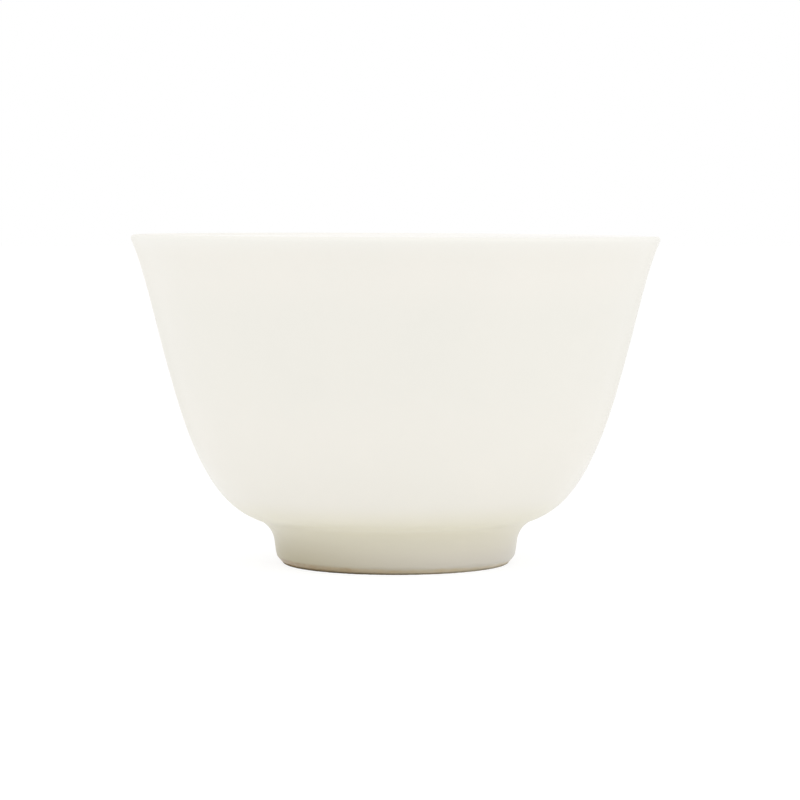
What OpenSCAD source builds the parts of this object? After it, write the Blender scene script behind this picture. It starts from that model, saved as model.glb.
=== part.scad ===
// Small handleless porcelain cup: a flared bowl, a foot ring that slip joins
// to the bowl's underside, and three coats of glaze as separate skins.
// Millimetres, +Z up, the origin at the centre of the foot, on the table.
// Every sub-part is turned. The outline runs down the outside of the cup,
// round the foot and up into its recess, as stations [radius, height, lean],
// where the lean is how far the surface tips from upright, in degrees.

/* [Lip] */
// Diameter over the glazed lip
lip_d = 80; // [64:1:100]
// Height of the lip above the table
cup_h = 49.9; // [40:0.1:70]
// Thickness of the glazed wall at the lip
lip_wall = 1.1; // [0.8:0.1:2]
// Lean of the flared lip, in degrees
lip_lean = 23; // [10:1:34]

/* [Bowl] */
// Thickness of the glazed floor on the axis
floor_wall = 3.4; // [2.4:0.1:5]
// Lean of the bowl where it runs into the foot, in degrees
heel_lean = 70; // [60:1:76]

/* [Foot] */
// Outer diameter of the flat land that the cup stands on
land_d = 33.8; // [30:0.2:37]
// Width of the flat land
land_w = 1.8; // [1.2:0.1:3]
// Radius of the land's two bare edges
edge_r = 0.4; // [0.2:0.05:0.6]
// Radius with which the foot's outer wall tucks in above the land
tuck_r = 4; // [2:0.25:5]
// Lean of the foot's outer wall where it meets the bare edge, in degrees
tuck_lean = 38; // [20:1:48]
// Lean of the foot's straight outer wall, in degrees
foot_lean = 8; // [4:0.5:14]
// Height at which the foot's straight outer wall ends
foot_wall_h = 3.55; // [3.2:0.05:4.4]
// Radius of the hollow between the foot and the bowl
hollow_r = 4.1; // [3.4:0.1:5.2]
// Height of the glazed ceiling of the recess in the foot
recess_h = 4.9; // [4.4:0.1:5.6]
// Radius round the ceiling of the recess
recess_r = 1.4; // [0.8:0.1:2]
// Lean of the recess wall, in degrees
recess_lean = 8; // [2:1:14]

/* [Joint] */
// Thickness of the slip between the bowl and the foot ring
slip_t = 0.3; // [0.2:0.05:0.5]
// Depth of the scored rings that key the slip
score_depth = 0.2; // [0.1:0.05:0.3]
// Number of scored rings in each face
score_count = 3; // [2:1:4]

/* [Glaze] */
// Thickness of the coats
glaze_t = 0.25; // [0.15:0.05:0.4]
// Thickness of the coats where they run thin over the lip
lip_glaze_t = 0.12; // [0.1:0.02:0.2]
// Depth below the lip down to which the coats run thin
thin_depth = 8; // [4:1:14]

/* [Hidden] */
$fn = 180;

// Steps along the bowl, along its floor and round each arc
bowl_steps = 48;
floor_steps = 16;
arc_steps = 8;

// How far the bowl's curve keeps the lean of the lip and of the heel, as
// shares of the bowl's height
lip_pull_share = 0.23;
heel_pull_share = 0.19;
// Pull of the bowl's waist, as shares of the run and of the height from the
// heel up to the lip
waist_shares = [0.65, 0.28];
// Place of the joint, as a share of the straight walls that it crosses
joint_share = 0.6;
// How late the wall thickens on its way from the lip to the floor
thickening_power = 3;

// Lip
lip_r = lip_wall / 2;
lip_c = [lip_d / 2 - lip_r, cup_h - lip_r];
lip_side = turned(lip_c, lip_r, lip_lean);

// Bare edges of the land, on the outside and in the recess
climb_lean = 180 - recess_lean;
land_out_c = [land_d / 2, edge_r];
land_in_c = [land_d / 2 - land_w, edge_r];
land_out = turned(land_out_c, edge_r, tuck_lean);
land_in = turned(land_in_c, edge_r, climb_lean);

// Tuck above the outer edge, and the foot of the straight wall over it
tuck_c = xy(turned(land_out, -tuck_r, tuck_lean));
tuck_top = turned(tuck_c, tuck_r, foot_lean);

// Hollow above the foot, and the heel where the bowl leaves it
hollow_c = [
    foot_out(foot_wall_h) + glaze_t / cos(foot_lean) + hollow_r * cos(foot_lean),
    foot_wall_h - hollow_r * sin(foot_lean)
];
heel = turned(hollow_c, -hollow_r, heel_lean);
heel_to_lip = xy(lip_side) - xy(heel);

// Arc between the recess wall and its ceiling
recess_wall_h = recess_h - recess_r * (1 - sin(recess_lean));
recess_c = [
    recess_in(recess_wall_h) - glaze_t / cos(recess_lean) - recess_r * cos(recess_lean),
    recess_h - recess_r
];

// Faces of the joint
ring_h = mix(tuck_top[1], min(foot_wall_h, recess_wall_h) - slip_t, joint_share);
seat_h = ring_h + slip_t;

// Control points of the bowl's outside and of its floor's underside
bowl_pulls = [
    xy(lip_side),
    xy(lip_side) + lip_pull_share * heel_to_lip[1] * run(lip_lean),
    xy(heel) + [heel_to_lip[0] * waist_shares[0], heel_to_lip[1] * waist_shares[1]],
    xy(heel) - heel_pull_share * heel_to_lip[1] * run(heel_lean),
    xy(heel)
];
floor_pulls = [
    xy(heel),
    xy(heel) + (heel[1] - recess_h) / cos(heel_lean) * run(heel_lean),
    [0, recess_h]
];

// Stations on the glazed outline
bowl_path = curve(bowl_pulls, bowl_steps);
floor_path = curve(floor_pulls, floor_steps);
hollow_path = bend(hollow_c, -hollow_r, heel_lean, foot_lean);
tuck_path = bend(tuck_c, tuck_r, foot_lean, tuck_lean);
recess_path = bend(recess_c, -recess_r, climb_lean, 90);
wall_path = concat(bowl_path, inner(floor_path));

// Bare points under the coats
bare_outside = [for (s = bowl_path) inset(s, coat(s))];
bare_hollow = [for (s = hollow_path) inset(s, glaze_t)];
bare_recess = [for (s = recess_path) inset(s, glaze_t)];
bare_inside = [for (s = wall_path) inset(s, wall(s) - coat(s))];
glazed_inside = [for (s = wall_path) inset(s, wall(s))];

// Axis points of the floor
floor_top = [0, recess_h + floor_wall];
floor_bare_top = floor_top - [0, glaze_t];
recess_top = [0, recess_h];
recess_bare_top = recess_top + [0, glaze_t];

function mix(a, b, share) = a + (b - a) * share;
function xy(s) = [s[0], s[1]];

// One step of unit length down a surface that leans
function run(lean) = [-sin(lean), -cos(lean)];

// Station on an arc; a negative radius turns the arc's hollow side out
function turned(c, r, lean) = [c[0] + r * cos(lean), c[1] - r * sin(lean), lean];
function bend(c, r, from, to) =
    [for (i = [0 : arc_steps]) turned(c, r, mix(from, to, i / arc_steps))];

// Stations along the curve that a list of control points draws
function steps(p) = [for (i = [0 : len(p) - 2]) p[i + 1] - p[i]];
function point(p, share) = len(p) == 1
    ? p[0]
    : point([for (i = [0 : len(p) - 2]) mix(p[i], p[i + 1], share)], share);
function curve(p, n) = [
    for (i = [0 : n])
        let (at = point(p, i / n), way = point(steps(p), i / n))
        [at[0], at[1], atan2(-way[0], -way[1])]
];

// A station's point, moved into the body
function inset(s, depth) = xy(turned(s, -depth, s[2]));

// Lists without their first item, without both ends, and turned round
function rest(list) = [for (i = [1 : len(list) - 1]) list[i]];
function inner(list) = [for (i = [1 : len(list) - 2]) list[i]];
function back(list) = [for (i = [len(list) - 1 : -1 : 0]) list[i]];
function points(path) = [for (s = path) xy(s)];

// Thickness of the glazed wall and of each coat at a station
function wall(s) =
    mix(floor_wall, lip_wall, pow(s[0] / lip_side[0], thickening_power));
function coat(s) =
    mix(glaze_t, lip_glaze_t, pow(max(0, 1 - (lip_side[1] - s[1]) / thin_depth), 2));

// Radius of the foot's bare outer wall and of its bare recess wall at a height
function foot_out(h) = tuck_top[0] + (h - tuck_top[1]) * tan(foot_lean);
function recess_in(h) = land_in[0] - (h - land_in[1]) * tan(recess_lean);

// Face of the joint from the outside in, with its scored rings
function scored(h, depth) = concat(
    [[foot_out(h), h]],
    [
        for (i = [0 : score_count - 1])
            let (r = mix(foot_out(h), recess_in(h), (i + 1 / 2) / score_count))
            each [[r + score_depth, h], [r, h + depth], [r - score_depth, h]]
    ],
    [[recess_in(h), h]]
);

// Rounded end of the outer coat, over the tuck and down to the bare edge
function foot_end() =
    let (
        lean = tuck_lean - glaze_t / tuck_r * 180 / PI,
        at = turned(tuck_c, tuck_r, lean)
    )
    concat(
        bend(tuck_c, tuck_r + glaze_t, foot_lean, lean),
        inner(bend(at, glaze_t, lean, lean + 90)),
        back(tuck_path)
    );

// Rounded end of the coat in the recess, down to the bare edge
function recess_end() =
    let (h = land_in[1] + glaze_t * cos(recess_lean))
    bend([recess_in(h), h], glaze_t, climb_lean, climb_lean - 90);

// Bare porcelain bowl with the seat for its foot ring
module bowl() color([0.95, 0.95, 0.92]) rotate_extrude() polygon(concat(
    [floor_bare_top],
    back(bare_inside),
    points(rest(bend(lip_c, lip_r - lip_glaze_t, lip_lean - 180, lip_lean))),
    rest(bare_outside),
    rest(bare_hollow),
    scored(seat_h, score_depth),
    bare_recess,
    [recess_bare_top]
));

// Porcelain foot ring; its land and both edges stay bare
module foot_ring() color([0.78, 0.69, 0.57]) rotate_extrude() polygon(concat(
    back(scored(ring_h, -score_depth)),
    points(tuck_path),
    points(rest(bend(land_out_c, edge_r, tuck_lean, 90))),
    points(bend(land_in_c, edge_r, 90, climb_lean))
));

// Slip that joins the foot ring to the bowl and fills the scored rings
module luting_slip() color([0.9, 0.88, 0.82]) rotate_extrude() polygon(concat(
    scored(seat_h, score_depth),
    back(scored(ring_h, -score_depth))
));

// Dipped coat from the crown of the lip down to the foot's bare edge
module outer_glaze() color([0.94, 0.93, 0.89]) rotate_extrude() polygon(concat(
    points(bend(lip_c, lip_r, -90, lip_lean)),
    points(rest(bowl_path)),
    points(rest(hollow_path)),
    points(foot_end()),
    [[foot_out(ring_h), ring_h], [foot_out(seat_h), seat_h]],
    back(bare_hollow),
    back(bare_outside),
    points(rest(bend(lip_c, lip_r - lip_glaze_t, lip_lean, -90)))
));

// Poured coat from the crown of the lip down to the middle of the floor
module inner_glaze() color([0.95, 0.94, 0.9]) rotate_extrude() polygon(concat(
    points(bend(lip_c, lip_r, -90, lip_lean - 180)),
    rest(glazed_inside),
    [floor_top, floor_bare_top],
    back(bare_inside),
    points(rest(bend(lip_c, lip_r - lip_glaze_t, lip_lean - 180, -90)))
));

// Coat inside the recess, down to the bare edge of the land
module base_glaze() color([0.94, 0.93, 0.88]) rotate_extrude() polygon(concat(
    [recess_top],
    points(back(recess_path)),
    points(recess_end()),
    [[recess_in(ring_h), ring_h], [recess_in(seat_h), seat_h]],
    bare_recess,
    [recess_bare_top]
));

bowl();
foot_ring();
luting_slip();
outer_glaze();
inner_glaze();
base_glaze();
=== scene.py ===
"""Looks of a small porcelain cup with no handle.

The pieces are turned from the outline that the CAD parts have, in finer steps, and
then moved by the small unevenness of a cup made by hand. Metres, +Z up, the origin
at the centre of the foot, on the table. A station on the outline is (radius, height,
lean), where the lean is how far the surface tips from upright, in degrees.
"""

import math

import bmesh
import bpy
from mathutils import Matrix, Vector, noise


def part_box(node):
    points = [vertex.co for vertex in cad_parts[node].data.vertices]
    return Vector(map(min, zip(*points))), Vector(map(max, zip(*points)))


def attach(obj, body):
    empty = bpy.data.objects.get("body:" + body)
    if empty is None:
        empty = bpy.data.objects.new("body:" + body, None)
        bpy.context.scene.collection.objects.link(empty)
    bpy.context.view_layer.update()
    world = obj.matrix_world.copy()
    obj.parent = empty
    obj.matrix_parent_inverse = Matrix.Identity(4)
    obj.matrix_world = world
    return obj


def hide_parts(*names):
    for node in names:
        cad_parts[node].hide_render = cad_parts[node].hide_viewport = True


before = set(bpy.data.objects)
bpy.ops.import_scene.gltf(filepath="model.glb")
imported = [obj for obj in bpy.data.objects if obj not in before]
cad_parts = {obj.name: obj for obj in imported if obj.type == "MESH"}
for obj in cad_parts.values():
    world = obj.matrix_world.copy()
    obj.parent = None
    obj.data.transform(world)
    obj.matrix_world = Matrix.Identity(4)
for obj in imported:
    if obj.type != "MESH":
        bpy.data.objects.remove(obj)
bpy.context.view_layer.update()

# Lip
LIP_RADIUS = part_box("outer_glaze")[1].x
CUP_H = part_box("outer_glaze")[1].z
LIP_WALL = 0.0011
LIP_LEAN = 23

# Bowl
FLOOR_WALL = 0.0034
HEEL_LEAN = 70
LIP_PULL_SHARE = 0.23
HEEL_PULL_SHARE = 0.19
WAIST_SHARES = (0.65, 0.28)
THICKENING_POWER = 3

# Foot
LAND_RADIUS = 0.0169
LAND_W = 0.0018
EDGE_R = 0.0004
TUCK_R = 0.004
TUCK_LEAN = 38
FOOT_LEAN = 8
FOOT_WALL_H = 0.00355
HOLLOW_R = 0.0041
RECESS_H = 0.0049
RECESS_R = 0.0014
RECESS_LEAN = 8

# Joint between the bowl and the foot ring
SLIP_T = 0.0003
SCORE_DEPTH = 0.0002
SCORE_COUNT = 3
JOINT_SHARE = 0.6

# Coats of glaze, which run thin over this depth under the lip
GLAZE_T = 0.00025
LIP_GLAZE_T = 0.00012
THIN_DEPTH = 0.008

# Steps of the meshes: round the cup, along the bowl, along its floor and round an arc
AROUND = 256
BOWL_STEPS = 96
FLOOR_STEPS = 28
ARC_STEPS = 12

# Faces that are hidden get this share of their size on the map, and steeper edges stay sharp
HIDDEN_MAP_SHARE = 0.02
SHARP_ANGLE = math.radians(40)

# Unevenness: the lip is low on the right, and the wall wanders in and out, in waves that are
# WANDER_LENGTH high and WANDER_STRETCH times as long round the cup
LIP_DIP = 0.00034
DIP_DEPTH = 0.012
DIP_POWER = 1.5
WANDER = 0.00008
WANDER_LENGTH = 0.011
WANDER_STRETCH = 3
WANDER_FROM = 0.007
# Faint spiral that the fingers left inside, and the one that trimming left in the recess
THROW_DEPTH = 0.00002
THROW_PITCH = 0.0042
TRIM_DEPTH = 0.00003
TRIM_PITCH = 0.0013
# How far the glaze's end creeps up the foot in places, in degrees of the tuck and in metres
CREEP_LEAN = 5
CREEP_RISE = 0.0003
# How the creep runs round the foot: its middle, and long and short waves as (share, length)
CREEP_MIDDLE = 0.45
CREEP_WAVES = ((0.7, 0.006), (0.25, 0.0015))
CREEP_SEED_OUTSIDE = 3.0
CREEP_SEED_RECESS = 7.0
# The outer coat thins out over the last degrees of the tuck, to this thickness at its end
FEATHER_LEAN = 14
END_T = 0.00005
# Grain of the bare land
GRIT = 0.000025
GRIT_LENGTH = 0.0006

# Camera, measured from the photograph: the cup's axis is a little left of its middle
CAMERA_AT = (0.000645, -0.4677, 0.05362)
CAMERA_DIP = 3.535
CAMERA_LENS = 138.8
CAMERA_SENSOR = 36

# Light: an even tent, square soft boxes as (place, size, power), and the times that light
# bounces between pale surfaces
TENT_LEVEL = 0.876
BOUNCES = 12
LAMPS = {
    "top_box": ((0, 0, 1.5), 1.4, 1.9),
    "front_box": ((0, -1.0, 1.2), 1.0, 1.35),
    "right_box": ((1.4, -0.5, 0.6), 1.2, 2.4),
    "left_box": ((-1.4, -0.5, 0.6), 1.2, 1.8),
}

# Floor: what it bounces to the cup, and its glow and its shadow's share where it is seen
FLOOR_SIZE = 8
FLOOR_BOUNCE = 0.95
FLOOR_GLOW = 0.86
FLOOR_SHADOW_SHARE = 0.2


def tone(red, green, blue):
    """Colour as a screen shows it, 0 to 255, as the linear colour that shaders take"""
    shares = [channel / 255 for channel in (red, green, blue)]
    return (*(s / 12.92 if s <= 0.04045 else ((s + 0.055) / 1.055) ** 2.4 for s in shares), 1)


# Tones of the glaze on the wall, over the heel and down the foot, some of them painted light and painted
# shade
IVORY = tone(242, 239, 231)
# The deeper ivory serves both the soft clouds and the painted shade on the middle of the wall
IVORY_CLOUD_AND_SHADE = tone(239, 237, 229)
POOLED = tone(236, 232, 213)
# The crease's pale tone is painted light, which lifts the shade in the hollow over the foot
CREASE_LIGHT = tone(246, 243, 227)
# The foot's grey tone is painted shade, which darkens the glaze towards the table
FOOT_SHADE = tone(208, 203, 196)
# The toasted tone is partly the fire's brown flash and partly painted shade on the left side
FOOT_TOASTED_AND_SHADED = tone(170, 161, 122)
FLASH = tone(158, 130, 84)
FLASH_FAINT = tone(207, 193, 163)
SPECK = tone(200, 192, 178)
# Tones of the bare clay, and of the clay that other pieces cover
BISCUIT = tone(150, 131, 98)
BISCUIT_FAINT = tone(207, 197, 175)
# The scorch tone also serves as painted contact shadow along the land's outer edge; the dark specks are
# real
SCORCH_AND_SHADE = tone(92, 81, 59)
PORCELAIN = tone(240, 239, 234)
SLIP = tone(226, 221, 208)
PORCELAIN_SHADE = 0.94
SLIP_SHADE = 0.9

# How a coat pales over a band under the lip, where it runs thin, with painted light over that band, most on
# the inside.
# Its crown shows only a share of that paleness, which leaves painted shade on the crown, down to CROWN_TOP,
# and then more and more of it down to crown_depth. The base's coat lies far below the lip and shares the
# outer rule
CROWN_TOP = 0.0001
PALE_AND_LIT_OUTSIDE = {
    "lip_pale_lit_tone": tone(246, 245, 239),
    "lip_band": 0.0036,
    "lip_power": 2.0,
    "crown_shade_share": 0.4,
    "crown_depth": 0.001,
}
PALE_AND_LIT_INSIDE = {
    "lip_pale_lit_tone": tone(254, 253, 251),
    "lip_band": 0.02,
    "lip_power": 1.0,
    "crown_shade_share": 0.35,
    "crown_depth": 0.0005,
}

# Values between which nearly all of a noise lies, and closer ones for stronger contrast
NOISE_WIDE = (0.3, 0.7)
NOISE_MIDDLE = (0.35, 0.65)

# Ivory that deepens in soft clouds, and painted shade that deepens it on the middle of the wall, between
# these heights
CLOUD_LENGTH = 0.012
CLOUD_SHARE = 0.3
MIDDLE_SHADE_SHARE = 0.7
MIDDLE_SHADE_TOP = (0.044, 0.038)
MIDDLE_SHADE_END = (0.02, 0.03)

# Heights between which the glaze's tones change over the heel and down the foot, where painted shade
# darkens the foot towards the table, and on the left side partly
POOL = (0.0116, 0.0062)
FOOT_SHADE_HEIGHTS = (0.0085, -0.001)
SIDE_TOAST_AND_SHADE = (0.0087, -0.001)
# Painted light along the crease over the foot, which lifts the shade in the hollow there, and how far from
# the axis it fades at the cup's two sides
CREASE_H = 0.0069
CREASE_BAND = 0.0009
CREASE_SIDES = (0.0165, 0.0125)
# How far from the axis the left side's darker, browner colour reaches, partly the fire's and partly painted
# shade, and the shares of it between which the clay and the end of the coat come to take it on
TOAST_AND_SHADE_REACH = 0.021
BURNT_AND_SHADED = (0.05, 0.8)
# The warm flash on the coat's end: its heights, how far they wander and how far they rise on the left side,
# where the fire's colour and painted shade darken the foot, the size of its patches, and the least of it
# that shows between them
FLASH_BAND = (0.00074, 0.0003)
FLASH_UNEVEN = 0.0004
FLASH_LIFT = 0.0005
FLASH_PATCH = 0.003
FLASH_BREAK = 0.6

# Surface of the glaze, with each grain as (size, detail). The roughness stays over 0.274, where
# the denoiser would leave flecks
GLAZE_IOR = 1.5
GLAZE_ROUGH = (0.285, 0.34)
GLAZE_ROUGH_LENGTH = 0.004
SWELL_GRAIN = (0.009, 1.0)
SWELL_DEPTH = 0.00006
PEEL_GRAIN = (0.0016, 2.0)
PEEL_DEPTH = 0.000012
# Gloss of the glaze. Above the heights in WAXY the coat is thin and waxy, and its gloss falls to
# GLOSS_GRAZED as the Fresnel share rises through GRAZING; below them it stays
GLOSS = 0.5
GLOSS_GRAZED = 0.03
GRAZING = (0.05, 0.38)
WAXY = (0.021, 0.012)

# Specks in the glaze and in the bare clay: spacing, size and the share of places with one
GLAZE_SPECKS = (0.008, 0.00018, 0.08)
CLAY_SPECKS = (0.0012, 0.00012, 0.3)

# Bare clay, with each grain as (size, detail, roughness): its stain, its grit, and its dark outer edge,
# which is partly scorch and partly painted contact shadow, by height, by distance from the centre and by
# the left side's share
STAIN_GRAIN = (0.003, 4.0, 0.6)
STAIN = (0.35, 0.7)
SCORCH_AND_SHADE_HEIGHTS = (0.0004, 0.0001)
SCORCH_AND_SHADE_RADII = (0.0163, 0.0168)
SCORCH_AND_SHADE_FIRE = (0.05, 0.45)
SCORCH_AND_SHADE_LEAST = 0.5
CLAY_GRIT = (0.00035, 5.0, 0.7)
CLAY_GRIT_DEPTH = 0.00005
CLAY_ROUGH = (0.75, 0.95)
# Covered clay
BODY_CLOUD_LENGTH = 0.006
BODY_GRIT = (0.0004, 5.0, 0.7)
BODY_GRIT_DEPTH = 0.00003
BODY_ROUGH = (0.7, 0.9)
# Any clay
CLAY_GLOSS = 0.3


def mix(a, b, share):
    return a + (b - a) * share


def ease(value):
    """0 to 1, with a soft start and a soft end"""
    value = min(1, max(0, value))
    return value * value * (3 - 2 * value)


# Outline

def turned(centre, radius, lean):
    """Station on an arc; a negative radius turns the arc's hollow side out"""
    angle = math.radians(lean)
    return (centre[0] + radius * math.cos(angle), centre[1] - radius * math.sin(angle), lean)


def bend(centre, radius, start, end):
    return [turned(centre, radius, mix(start, end, i / ARC_STEPS)) for i in range(ARC_STEPS + 1)]


def inset(station, depth):
    """The station's point, moved into the body"""
    return turned(station, -depth, station[2])[:2]


def run(lean, length):
    """Step down a surface that leans"""
    angle = math.radians(lean)
    return Vector((-math.sin(angle), -math.cos(angle))) * length


def drawn(pulls, share):
    """Point of the curve that the control points draw, share of the way along"""
    while len(pulls) > 1:
        pulls = [a.lerp(b, share) for a, b in zip(pulls, pulls[1:])]
    return pulls[0]


def curve(pulls, count):
    """Stations along the curve that the control points draw"""
    ways = [b - a for a, b in zip(pulls, pulls[1:])]
    stations = []
    for i in range(count + 1):
        at = drawn(pulls, i / count)
        way = drawn(ways, i / count)
        stations.append((at.x, at.y, math.degrees(math.atan2(-way.x, -way.y))))
    return stations


def points(stations):
    return [station[:2] for station in stations]


lip_r = LIP_WALL / 2
lip_c = (LIP_RADIUS - lip_r, CUP_H - lip_r)
lip_side = turned(lip_c, lip_r, LIP_LEAN)

climb_lean = 180 - RECESS_LEAN
land_out_c = (LAND_RADIUS, EDGE_R)
land_in_c = (LAND_RADIUS - LAND_W, EDGE_R)
land_out = turned(land_out_c, EDGE_R, TUCK_LEAN)
land_in = turned(land_in_c, EDGE_R, climb_lean)
tuck_c = turned(land_out, -TUCK_R, TUCK_LEAN)[:2]
tuck_top = turned(tuck_c, TUCK_R, FOOT_LEAN)


def foot_out(height):
    """Radius of the foot's bare outer wall"""
    return tuck_top[0] + (height - tuck_top[1]) * math.tan(math.radians(FOOT_LEAN))


def recess_in(height):
    """Radius of the foot's bare recess wall"""
    return land_in[0] - (height - land_in[1]) * math.tan(math.radians(RECESS_LEAN))


foot_cos = math.cos(math.radians(FOOT_LEAN))
recess_cos = math.cos(math.radians(RECESS_LEAN))
hollow_c = (
    foot_out(FOOT_WALL_H) + GLAZE_T / foot_cos + HOLLOW_R * foot_cos,
    FOOT_WALL_H - HOLLOW_R * math.sin(math.radians(FOOT_LEAN)),
)
heel = turned(hollow_c, -HOLLOW_R, HEEL_LEAN)
recess_wall_h = RECESS_H - RECESS_R * (1 - math.sin(math.radians(RECESS_LEAN)))
recess_c = (
    recess_in(recess_wall_h) - GLAZE_T / recess_cos - RECESS_R * recess_cos,
    RECESS_H - RECESS_R,
)
ring_h = mix(tuck_top[1], min(FOOT_WALL_H, recess_wall_h) - SLIP_T, JOINT_SHARE)
seat_h = ring_h + SLIP_T

lip_at = Vector(lip_side[:2])
heel_at = Vector(heel[:2])
rise = lip_at.y - heel_at.y
bowl_pulls = [
    lip_at,
    lip_at + run(LIP_LEAN, LIP_PULL_SHARE * rise),
    heel_at + (lip_at - heel_at) * Vector(WAIST_SHARES),
    heel_at - run(HEEL_LEAN, HEEL_PULL_SHARE * rise),
    heel_at,
]
floor_pulls = [
    heel_at,
    heel_at + run(HEEL_LEAN, (heel_at.y - RECESS_H) / math.cos(math.radians(HEEL_LEAN))),
    Vector((0, RECESS_H)),
]

bowl_path = curve(bowl_pulls, BOWL_STEPS)
floor_path = curve(floor_pulls, FLOOR_STEPS)
hollow_path = bend(hollow_c, -HOLLOW_R, HEEL_LEAN, FOOT_LEAN)
recess_path = bend(recess_c, -RECESS_R, climb_lean, 90)
tuck_path = bend(tuck_c, TUCK_R, FOOT_LEAN, TUCK_LEAN)
wall_path = bowl_path + floor_path[1:-1]


def wall(station):
    """Thickness of the glazed wall"""
    return mix(FLOOR_WALL, LIP_WALL, (station[0] / lip_side[0]) ** THICKENING_POWER)


def coat(station):
    """Thickness of a coat, which runs thin over the lip"""
    near_lip = max(0, 1 - (lip_side[1] - station[1]) / THIN_DEPTH)
    return mix(GLAZE_T, LIP_GLAZE_T, near_lip ** 2)


bare_outside = [inset(s, coat(s)) for s in bowl_path]
bare_hollow = [inset(s, GLAZE_T) for s in hollow_path]
bare_crown = points(bend(lip_c, lip_r - LIP_GLAZE_T, LIP_LEAN, -90))
bare_crown_inside = points(bend(lip_c, lip_r - LIP_GLAZE_T, LIP_LEAN - 180, -90))


# Unevenness

def around(turn, length, seed):
    """Smooth noise from -1 to 1 round the foot, with features about as long as length"""
    reach = LAND_RADIUS / length
    return noise.noise(Vector((math.cos(turn) * reach, math.sin(turn) * reach, seed)))


def creep(turn, seed):
    """0 to 1: how far the end of a coat has crept up at this turn"""
    return ease(CREEP_MIDDLE + sum(share * around(turn, length, seed) for share, length in CREEP_WAVES))


def throwing(station, turn):
    """Depth of the faint spiral inside the bowl, which dies away at the middle of the floor"""
    along = (station[0] + station[1]) / THROW_PITCH
    near_middle = ease(station[0] / THROW_PITCH)
    near_lip = ease((lip_side[1] - station[1]) / THIN_DEPTH)
    return THROW_DEPTH * near_middle * near_lip * math.sin(math.tau * along + turn)


def trimming(radius, turn):
    """Depth of the faint spiral in the ceiling of the recess"""
    fade = ease(radius / TRIM_PITCH) * ease((recess_c[0] - radius) / TRIM_PITCH + 1)
    return TRIM_DEPTH * fade * (0.5 + 0.5 * math.sin(math.tau * radius / TRIM_PITCH + turn))


def wandered(height, turn):
    """0 to 1: how far the wall has wandered in at this place"""
    return 0.5 + 0.5 * noise.noise(Vector((
        math.cos(turn) * LIP_RADIUS / WANDER_STRETCH / WANDER_LENGTH,
        math.sin(turn) * LIP_RADIUS / WANDER_STRETCH / WANDER_LENGTH,
        height / WANDER_LENGTH,
    )))


def settled(at, turn):
    """The place of an outline's point, moved as the clay moved while it dried and was fired"""
    radius, height = at
    turned_right = (0.5 + 0.5 * math.cos(turn)) ** DIP_POWER
    below_lip = max(0, height - (CUP_H - DIP_DEPTH)) / DIP_DEPTH
    free = ease((height - WANDER_FROM) / WANDER_FROM) * ease(radius / LAND_RADIUS)
    radius = radius - WANDER * free * wandered(height, turn)
    height = height - LIP_DIP * turned_right * below_lip ** 2
    return Vector((radius * math.cos(turn), radius * math.sin(turn), height))


def grained(at, turn):
    """Bare clay lifted by its grain; nothing sinks below the table"""
    grain_at = Vector((at[0] * math.cos(turn), at[0] * math.sin(turn), at[1])) / GRIT_LENGTH
    return (at[0], at[1] + GRIT * ease(0.5 + noise.noise(grain_at)))


# Outlines of the pieces: the side that shows, then the side that another piece hides

def scored(height, depth):
    """Face of the joint from the outside in, with its scored rings"""
    face = [(foot_out(height), height)]
    for i in range(SCORE_COUNT):
        radius = mix(foot_out(height), recess_in(height), (i + 1 / 2) / SCORE_COUNT)
        face += [(radius + SCORE_DEPTH, height), (radius, height + depth), (radius - SCORE_DEPTH, height)]
    return face + [(recess_in(height), height)]


def feathered(end_lean):
    """The outer coat's face on the tuck, down to its end"""
    face = []
    for i in range(2 * ARC_STEPS + 1):
        lean = mix(FOOT_LEAN, end_lean, i / (2 * ARC_STEPS))
        thickness = mix(END_T, GLAZE_T, ease((end_lean - lean) / FEATHER_LEAN))
        face.append(turned(tuck_c, TUCK_R + thickness, lean)[:2])
    return face


def outer_glaze(turn):
    end_lean = TUCK_LEAN - math.degrees(GLAZE_T / TUCK_R) - CREEP_LEAN * creep(turn, CREEP_SEED_OUTSIDE)
    roll = points(bend(turned(tuck_c, TUCK_R, end_lean), END_T, end_lean, end_lean + 90))
    shown = points(bend(lip_c, lip_r, -90, LIP_LEAN))
    shown += points(bowl_path[1:] + hollow_path[1:])
    shown += feathered(end_lean) + roll[1:-1]
    hidden = points(bend(tuck_c, TUCK_R, end_lean, FOOT_LEAN))
    hidden += [(foot_out(ring_h), ring_h), (foot_out(seat_h), seat_h)]
    hidden += bare_hollow[::-1] + bare_outside[::-1] + bare_crown[1:]
    return shown, hidden


def inner_glaze(turn):
    floor_top = RECESS_H + FLOOR_WALL
    shown = points(bend(lip_c, lip_r, -90, LIP_LEAN - 180))
    shown += [inset(s, wall(s) - throwing(s, turn)) for s in wall_path[1:]] + [(0.0, floor_top)]
    hidden = [(0.0, floor_top - GLAZE_T)]
    hidden += [inset(s, wall(s) - coat(s) - throwing(s, turn)) for s in wall_path[::-1]]
    hidden += bare_crown_inside[1:]
    return shown, hidden


def recess_shown(turn, depth=0.0):
    """The arc and the ceiling of the recess from the wall in, or the bare body above them"""
    arc = [inset(s, depth) for s in recess_path]
    radii = [recess_c[0] * (1 - i / FLOOR_STEPS) for i in range(1, FLOOR_STEPS)]
    return arc + [(r, RECESS_H + depth + trimming(r, turn)) for r in radii] + [(0.0, RECESS_H + depth)]


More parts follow.
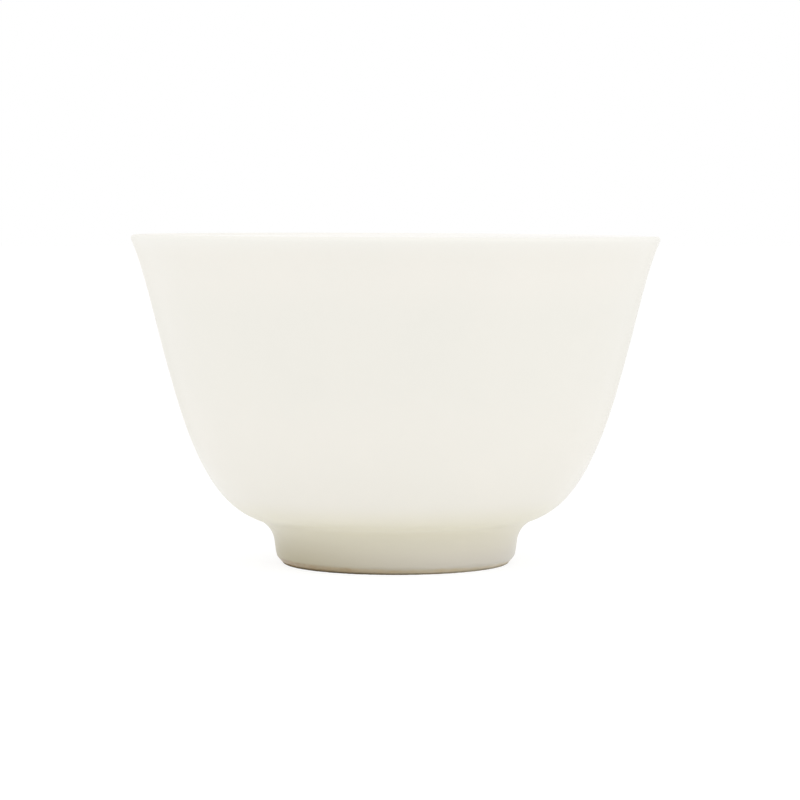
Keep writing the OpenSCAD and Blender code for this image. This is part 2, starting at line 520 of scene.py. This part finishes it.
def base_glaze(turn):
    end_h = land_in[1] + GLAZE_T * recess_cos + CREEP_RISE * creep(turn, CREEP_SEED_RECESS)
    roll = points(bend((recess_in(end_h), end_h), GLAZE_T, climb_lean, climb_lean - 90))
    shown = recess_shown(turn)[::-1] + roll[:-1]
    hidden = [roll[-1], (recess_in(ring_h), ring_h), (recess_in(seat_h), seat_h)]
    return shown, hidden + recess_shown(turn, GLAZE_T)


def bowl(turn):
    outside = bare_crown_inside[::-1] + bare_crown[::-1][1:] + bare_outside[1:]
    outside += bare_hollow[1:] + scored(seat_h, SCORE_DEPTH) + recess_shown(turn, GLAZE_T)
    inside = inner_glaze(turn)[1][:len(wall_path) + 1]
    return outside, inside


def foot_ring(turn):
    edges = bend(land_out_c, EDGE_R, TUCK_LEAN, 90)[1:] + bend(land_in_c, EDGE_R, 90, climb_lean)
    bare = points(tuck_path) + [grained(at, turn) for at in points(edges)]
    return bare, scored(ring_h, -SCORE_DEPTH)[::-1]


# Meshes

def map_heights(shown, hidden):
    """Heights on the piece's map, 0 to 1: the side that shows takes nearly all of it"""
    outline = shown + hidden
    heights = [0.0]
    for i, at in enumerate(outline):
        step = math.dist(at, outline[(i + 1) % len(outline)])
        weight = 1 if i < len(shown) - 1 else HIDDEN_MAP_SHARE
        heights.append(heights[-1] + step * weight)
    return [height / heights[-1] for height in heights]


def make_rings(made, outline):
    """The outline's points at each turn; a point on the axis is one for all turns"""
    rings = []
    axis = {}
    for k in range(AROUND):
        turn = math.tau * k / AROUND
        shown, hidden = outline(turn)
        ring = []
        for i, at in enumerate(shown + hidden):
            if at[0] == 0 and i not in axis:
                axis[i] = made.verts.new(settled(at, turn))
            ring.append(axis[i] if i in axis else made.verts.new(settled(at, turn)))
        rings.append(ring)
    return rings


def corners_between(ring, following, k, i):
    """A face's corners, each with its place round and up the map: three at the axis, or four"""
    j = (i + 1) % len(ring)
    near = [(ring[i], k, i), (ring[j], k, i + 1)]
    far = [(following[j], k + 1, i + 1), (following[i], k + 1, i)]
    if ring[j] == following[j]:
        return [near[0], (ring[j], k + 1 / 2, i + 1), far[1]]
    if ring[i] == following[i]:
        return [(ring[i], k + 1 / 2, i), near[1], far[0]]
    return near + far


def skin(made, rings, heights):
    """Faces between the rings, each with its place on the map"""
    layer = made.loops.layers.uv.new("OFBake")
    for k, ring in enumerate(rings):
        following = rings[(k + 1) % AROUND]
        for i in range(len(ring)):
            j = (i + 1) % len(ring)
            if ring[i] == following[i] and ring[j] == following[j]:
                continue
            corners = corners_between(ring, following, k, i)
            face = made.faces.new([corner[0] for corner in corners])
            face.smooth = True
            for loop, (_, across, up) in zip(face.loops, corners):
                loop[layer].uv = (across / AROUND, heights[up])


def turned_piece(name, outline, material):
    """Closed mesh of an outline that may change a little as it turns, with a map round it"""
    made = bmesh.new()
    skin(made, make_rings(made, outline), map_heights(*outline(0.0)))
    bmesh.ops.recalc_face_normals(made, faces=made.faces)
    mesh = bpy.data.meshes.new(name)
    made.to_mesh(mesh)
    made.free()
    mesh.set_sharp_from_angle(angle=SHARP_ANGLE)
    mesh.materials.append(material)
    piece = bpy.data.objects.new(name, mesh)
    bpy.context.scene.collection.objects.link(piece)
    return piece


# Materials

def new_material(name):
    """A material with an empty tree"""
    material = bpy.data.materials.new(name)
    material.use_nodes = True
    material.node_tree.nodes.clear()
    return material


def add(tree, kind, feeds=None, **settings):
    """Adds a node, and feeds its sockets with values or with other nodes' outputs"""
    made = tree.nodes.new("ShaderNode" + kind)
    for name, value in settings.items():
        setattr(made, name, value)
    for socket, feed in (feeds or {}).items():
        if isinstance(feed, bpy.types.NodeSocket):
            tree.links.new(feed, made.inputs[socket])
        else:
            made.inputs[socket].default_value = feed
    return made


def maths(tree, operation, *feeds):
    return add(tree, "Math", dict(enumerate(feeds)), operation=operation).outputs[0]


def span(tree, value, ends, low=0.0, high=1.0):
    """Runs smoothly from low to high as value goes from one end to the other"""
    feeds = {"Value": value, "From Min": ends[0], "From Max": ends[1], "To Min": low, "To Max": high}
    return add(tree, "MapRange", feeds, interpolation_type="SMOOTHSTEP").outputs["Result"]


def span_straight(tree, value, ends):
    """Runs evenly from 0 to 1 as value goes from one end to the other"""
    feeds = {"Value": value, "From Min": ends[0], "From Max": ends[1]}
    return add(tree, "MapRange", feeds).outputs["Result"]


def blend(tree, share, first, second):
    return add(tree, "MixRGB", {"Fac": share, "Color1": first, "Color2": second}).outputs["Color"]


def coordinate(tree, place, axis):
    """One of the place's X, Y and Z"""
    return add(tree, "SeparateXYZ", {"Vector": place}).outputs[axis]


def grain(tree, place, size, detail=3.0, roughness=0.5):
    """Noise with features of about that size in metres"""
    feeds = {"Vector": place, "Scale": 1 / size, "Detail": detail, "Roughness": roughness}
    return add(tree, "TexNoise", feeds).outputs["Fac"]


def specks(tree, place, spacing, size, share):
    """1 on a few round specks: share of the cells that are spacing apart hold one"""
    cells = add(tree, "TexVoronoi", {"Vector": place, "Scale": 1 / spacing})
    near = span(tree, cells.outputs["Distance"], (size / spacing, size / spacing / 2))
    chance = add(tree, "SeparateColor", {"Color": cells.outputs["Color"]}).outputs[0]
    return maths(tree, "MULTIPLY", near, maths(tree, "LESS_THAN", chance, share))


def bumps(tree, *layers):
    """Normal with each layer's (height, depth in metres) laid over the ones before"""
    normal = None
    for height, depth in layers:
        feeds = {"Height": height, "Distance": depth, "Strength": 1.0}
        if normal is not None:
            feeds["Normal"] = normal
        normal = add(tree, "Bump", feeds).outputs["Normal"]
    return normal


def finish_surface(tree, feeds):
    """Principled surface with these sockets set, as the material's output"""
    surface = add(tree, "BsdfPrincipled", feeds)
    add(tree, "OutputMaterial", {"Surface": surface.outputs["BSDF"]})


def fire_and_shade_side(tree, place):
    """0 to 1: towards the left side of the foot, which the fire browned and which carries painted shade"""
    side = span_straight(tree, coordinate(tree, place, "X"), (TOAST_AND_SHADE_REACH, -TOAST_AND_SHADE_REACH))
    return maths(tree, "MULTIPLY", side, side)


def burnt_and_shaded(tree, place):
    """0 to 1: how far the bare clay and the end of the coat took on the left side's colour, partly the
    fire's and partly painted shade
    """
    return span_straight(tree, fire_and_shade_side(tree, place), BURNT_AND_SHADED)


def ivory(tree, place, height):
    """The wall's ivory, deeper in soft clouds, and deeper on its middle as painted shade"""
    cloud = span(tree, grain(tree, place, CLOUD_LENGTH), NOISE_MIDDLE)
    # Painted shade on the middle of the wall
    middle_shade = maths(tree, "MULTIPLY", span(tree, height, MIDDLE_SHADE_TOP), span(tree, height, MIDDLE_SHADE_END))
    middle_shade = maths(tree, "MULTIPLY", middle_shade, MIDDLE_SHADE_SHARE)
    return blend(tree, maths(tree, "MULTIPLY_ADD", cloud, CLOUD_SHARE, middle_shade), IVORY, IVORY_CLOUD_AND_SHADE)


def paled_and_lit(tree, height, colour, lip_pale_lit_tone, lip_band, lip_power, crown_shade_share, crown_depth):
    """The coat's colour: paler where it runs thin under the lip, with painted light over that band and
    painted shade on its crown
    """
    near_lip = span_straight(tree, height, (CUP_H - lip_band, CUP_H))
    thin_and_lit = maths(tree, "POWER", near_lip, lip_power)
    # Painted shade on the crown
    crown_shade = span(tree, height, (CUP_H - CROWN_TOP, CUP_H - crown_depth), crown_shade_share, 1.0)
    return blend(tree, maths(tree, "MULTIPLY", thin_and_lit, crown_shade), colour, lip_pale_lit_tone)


def crease_light(tree, place, height):
    """0 to 1: painted light along the crease over the foot, which lifts the shade in the hollow"""
    above = span(tree, height, (CREASE_H + CREASE_BAND, CREASE_H))
    below = span(tree, height, (CREASE_H - CREASE_BAND, CREASE_H))
    toward_middle = span(tree, maths(tree, "ABSOLUTE", coordinate(tree, place, "X")), CREASE_SIDES)
    return maths(tree, "MULTIPLY", maths(tree, "MULTIPLY", above, below), toward_middle)


def toasted_and_shaded_foot(tree, place, height, colour):
    """The foot's glaze, darker towards the table as painted shade, and darker and browner on the left side,
    partly toasted by the fire and partly painted shade
    """
    colour = blend(tree, span(tree, height, FOOT_SHADE_HEIGHTS), colour, FOOT_SHADE)
    low = span(tree, height, SIDE_TOAST_AND_SHADE)
    return blend(tree, maths(tree, "MULTIPLY", fire_and_shade_side(tree, place), low), colour, FOOT_TOASTED_AND_SHADED)


def flashed_end(tree, place, height, colour):
    """Warm flash on the end of the coat, which reaches up further in some places, and further and darker on
    the left side, partly as painted shade
    """
    uneven = maths(tree, "MULTIPLY", grain(tree, place, FLASH_PATCH), FLASH_UNEVEN)
    lift = maths(tree, "MULTIPLY", fire_and_shade_side(tree, place), FLASH_LIFT)
    reach = maths(tree, "SUBTRACT", maths(tree, "SUBTRACT", height, uneven), lift)
    patches = span(tree, grain(tree, place, FLASH_PATCH / 2), NOISE_WIDE, FLASH_BREAK, 1.0)
    share = maths(tree, "MULTIPLY", span(tree, reach, FLASH_BAND), patches)
    return blend(tree, share, colour, blend(tree, burnt_and_shaded(tree, place), FLASH_FAINT, FLASH))


def gloss(tree, height):
    """The glaze's gloss, which the waxy coat on the wall loses along a grazing line of sight"""
    grazing = add(tree, "Fresnel", {"IOR": GLAZE_IOR}).outputs[0]
    kept = span(tree, height, WAXY, GLOSS_GRAZED, GLOSS)
    return span(tree, grazing, GRAZING, GLOSS, kept)


def glaze_material(name, paleness_and_light):
    """Waxy ivory glaze: paler where it runs thin at the lip, with painted light there, deeper where it
    pools at the foot, with painted light along the crease and painted shade down the foot
    """
    material = new_material(name)
    tree = material.node_tree
    place = add(tree, "TexCoord").outputs["Object"]
    height = coordinate(tree, place, "Z")
    # Paler under the lip, where the coat runs thin and painted light lies over the band, with painted shade
    # on the crown
    colour = paled_and_lit(tree, height, ivory(tree, place, height), **paleness_and_light)
    colour = blend(tree, span(tree, height, POOL), colour, POOLED)
    # Painted light along the crease over the foot
    colour = blend(tree, crease_light(tree, place, height), colour, CREASE_LIGHT)
    # Painted shade that darkens the foot towards the table, and on the left side partly
    colour = toasted_and_shaded_foot(tree, place, height, colour)
    colour = flashed_end(tree, place, height, colour)
    colour = blend(tree, specks(tree, place, *GLAZE_SPECKS), colour, SPECK)
    swell = grain(tree, place, *SWELL_GRAIN)
    peel = grain(tree, place, *PEEL_GRAIN)
    finish_surface(tree, {
        "Base Color": colour,
        "Roughness": span(tree, grain(tree, place, GLAZE_ROUGH_LENGTH), NOISE_WIDE, *GLAZE_ROUGH),
        "IOR": GLAZE_IOR,
        "Specular IOR Level": gloss(tree, height),
        "Normal": bumps(tree, (swell, SWELL_DEPTH), (peel, PEEL_DEPTH)),
    })
    return material


def clay_surface(tree, place, colour, grit_grain, depth, roughness):
    """Matte, gritty surface of fired clay"""
    grit = grain(tree, place, *grit_grain)
    finish_surface(tree, {
        "Base Color": colour,
        "Roughness": span(tree, grit, NOISE_WIDE, *roughness),
        "Specular IOR Level": CLAY_GLOSS,
        "Normal": bumps(tree, (grit, depth)),
    })


def scorched_and_shaded_edge(tree, place):
    """0 to 1: the outer edge of the land, darkened by scorch and by painted contact shadow, most on the
    left side
    """
    low = span(tree, coordinate(tree, place, "Z"), SCORCH_AND_SHADE_HEIGHTS)
    out = add(tree, "VectorMath", {0: place}, operation="LENGTH").outputs["Value"]
    edge = maths(tree, "MULTIPLY", low, span(tree, out, SCORCH_AND_SHADE_RADII))
    return maths(tree, "MULTIPLY", edge, span(tree, fire_and_shade_side(tree, place), SCORCH_AND_SHADE_FIRE, SCORCH_AND_SHADE_LEAST, 1.0))


def biscuit_material(name):
    """Bare fired clay of the foot: matte, gritty, warm, darker and browner towards the left side, partly
    from the fire and partly as painted shade, and scorched along its outer edge, with painted contact
    shadow there
    """
    material = new_material(name)
    tree = material.node_tree
    place = add(tree, "TexCoord").outputs["Object"]
    stain = span(tree, grain(tree, place, *STAIN_GRAIN), STAIN)
    # Darker and browner towards the left side, partly the fire's colour and partly painted shade
    colour = blend(tree, burnt_and_shaded(tree, place), BISCUIT_FAINT, blend(tree, stain, BISCUIT, FLASH))
    # Scorch and painted contact shadow along the land's outer edge
    colour = blend(tree, scorched_and_shaded_edge(tree, place), colour, SCORCH_AND_SHADE)
    colour = blend(tree, specks(tree, place, *CLAY_SPECKS), colour, SCORCH_AND_SHADE)
    clay_surface(tree, place, colour, CLAY_GRIT, CLAY_GRIT_DEPTH, CLAY_ROUGH)
    return material


def body_material(name, colour, shade):
    """Unglazed clay that other pieces cover: matte, with a fine grain"""
    material = new_material(name)
    tree = material.node_tree
    place = add(tree, "TexCoord").outputs["Object"]
    deeper = tuple(channel * shade for channel in colour[:3]) + (1,)
    clouded = blend(tree, grain(tree, place, BODY_CLOUD_LENGTH), colour, deeper)
    clay_surface(tree, place, clouded, BODY_GRIT, BODY_GRIT_DEPTH, BODY_ROUGH)
    return material


# Pieces

def dress(name, outline, material, node):
    piece = turned_piece(name, outline, material)
    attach(piece, "root")
    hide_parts(node)


def dress_glazes():
    """The three coats, each with a material that has its piece's name"""
    coats = {
        "glaze_outside": (outer_glaze, PALE_AND_LIT_OUTSIDE, "outer_glaze"),
        "glaze_inside": (inner_glaze, PALE_AND_LIT_INSIDE, "inner_glaze"),
        "glaze_base": (base_glaze, PALE_AND_LIT_OUTSIDE, "base_glaze"),
    }
    for name, (outline, paleness_and_light, node) in coats.items():
        dress(name, outline, glaze_material(name, paleness_and_light), node)


def dress_clay():
    """The bowl's body and the bare foot"""
    body = body_material("porcelain_clay", PORCELAIN, PORCELAIN_SHADE)
    dress("porcelain_bowl", bowl, body, "bowl")
    dress("bare_foot_ring", foot_ring, biscuit_material("bare_clay"), "foot_ring")


def dress_slip():
    """The luting slip stays the CAD part, with a clay of its own"""
    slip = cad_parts["luting_slip"]
    slip.data.materials.clear()
    slip.data.materials.append(body_material("slip_clay", SLIP, SLIP_SHADE))


# Studio

def seen(tree):
    """1 for rays that see the studio itself: from the camera, or by a reflection or through glass"""
    path = add(tree, "LightPath").outputs
    either = maths(tree, "MAXIMUM", path["Is Camera Ray"], path["Is Glossy Ray"])
    return maths(tree, "MAXIMUM", either, path["Is Transmission Ray"])


def floor_material():
    """Pale floor that bounces light to the cup, and looks white with a faint shadow"""
    material = new_material("floor_sweep")
    tree = material.node_tree
    looked_at = seen(tree)
    bounce = (FLOOR_BOUNCE, FLOOR_BOUNCE, FLOOR_BOUNCE, 1)
    shadow = (FLOOR_SHADOW_SHARE, FLOOR_SHADOW_SHARE, FLOOR_SHADOW_SHARE, 1)
    paper = add(tree, "BsdfDiffuse", {"Color": blend(tree, looked_at, bounce, shadow)})
    glow = add(tree, "Emission", {"Strength": maths(tree, "MULTIPLY", looked_at, FLOOR_GLOW)})
    both = add(tree, "AddShader", {0: paper.outputs[0], 1: glow.outputs[0]})
    add(tree, "OutputMaterial", {"Surface": both.outputs[0]})
    return material


def make_floor():
    half = FLOOR_SIZE / 2
    mesh = bpy.data.meshes.new("floor")
    corners = [(-half, -half, 0), (half, -half, 0), (half, half, 0), (-half, half, 0)]
    mesh.from_pydata(corners, [], [(0, 1, 2, 3)])
    mesh.materials.append(floor_material())
    floor = bpy.data.objects.new("floor", mesh)
    bpy.context.scene.collection.objects.link(floor)


def make_world():
    """Light tent: white where it is seen, and an even light on the cup"""
    world = bpy.data.worlds.new("tent")
    world.use_nodes = True
    tree = world.node_tree
    tree.nodes.clear()
    level = maths(tree, "ADD", maths(tree, "MULTIPLY", seen(tree), 1 - TENT_LEVEL), TENT_LEVEL)
    tent = add(tree, "Background", {"Color": (1, 1, 1, 1), "Strength": level})
    add(tree, "OutputWorld", {"Surface": tent.outputs[0]})
    bpy.context.scene.world = world


def make_lamp(name, place, size, power):
    """Square soft box that looks at the cup"""
    lamp = bpy.data.lights.new(name, "AREA")
    lamp.size = size
    lamp.energy = power
    box = bpy.data.objects.new(name, lamp)
    box.location = place
    aim = Vector((0, 0, CUP_H / 2)) - Vector(place)
    box.rotation_euler = aim.to_track_quat("-Z", "Y").to_euler()
    box.visible_glossy = False
    bpy.context.scene.collection.objects.link(box)


def make_camera():
    data = bpy.data.cameras.new("camera")
    data.lens = CAMERA_LENS
    data.sensor_width = CAMERA_SENSOR
    camera = bpy.data.objects.new("camera", data)
    camera.location = CAMERA_AT
    camera.rotation_euler = (math.radians(90 - CAMERA_DIP), 0, 0)
    bpy.context.scene.collection.objects.link(camera)
    bpy.context.scene.camera = camera


def main():
    make_camera()
    make_world()
    make_floor()
    for name, (place, size, power) in LAMPS.items():
        make_lamp(name, place, size, power)
    bpy.context.scene.view_settings.view_transform = "Standard"
    bpy.context.scene.cycles.diffuse_bounces = BOUNCES
    dress_glazes()
    dress_clay()
    dress_slip()


main()
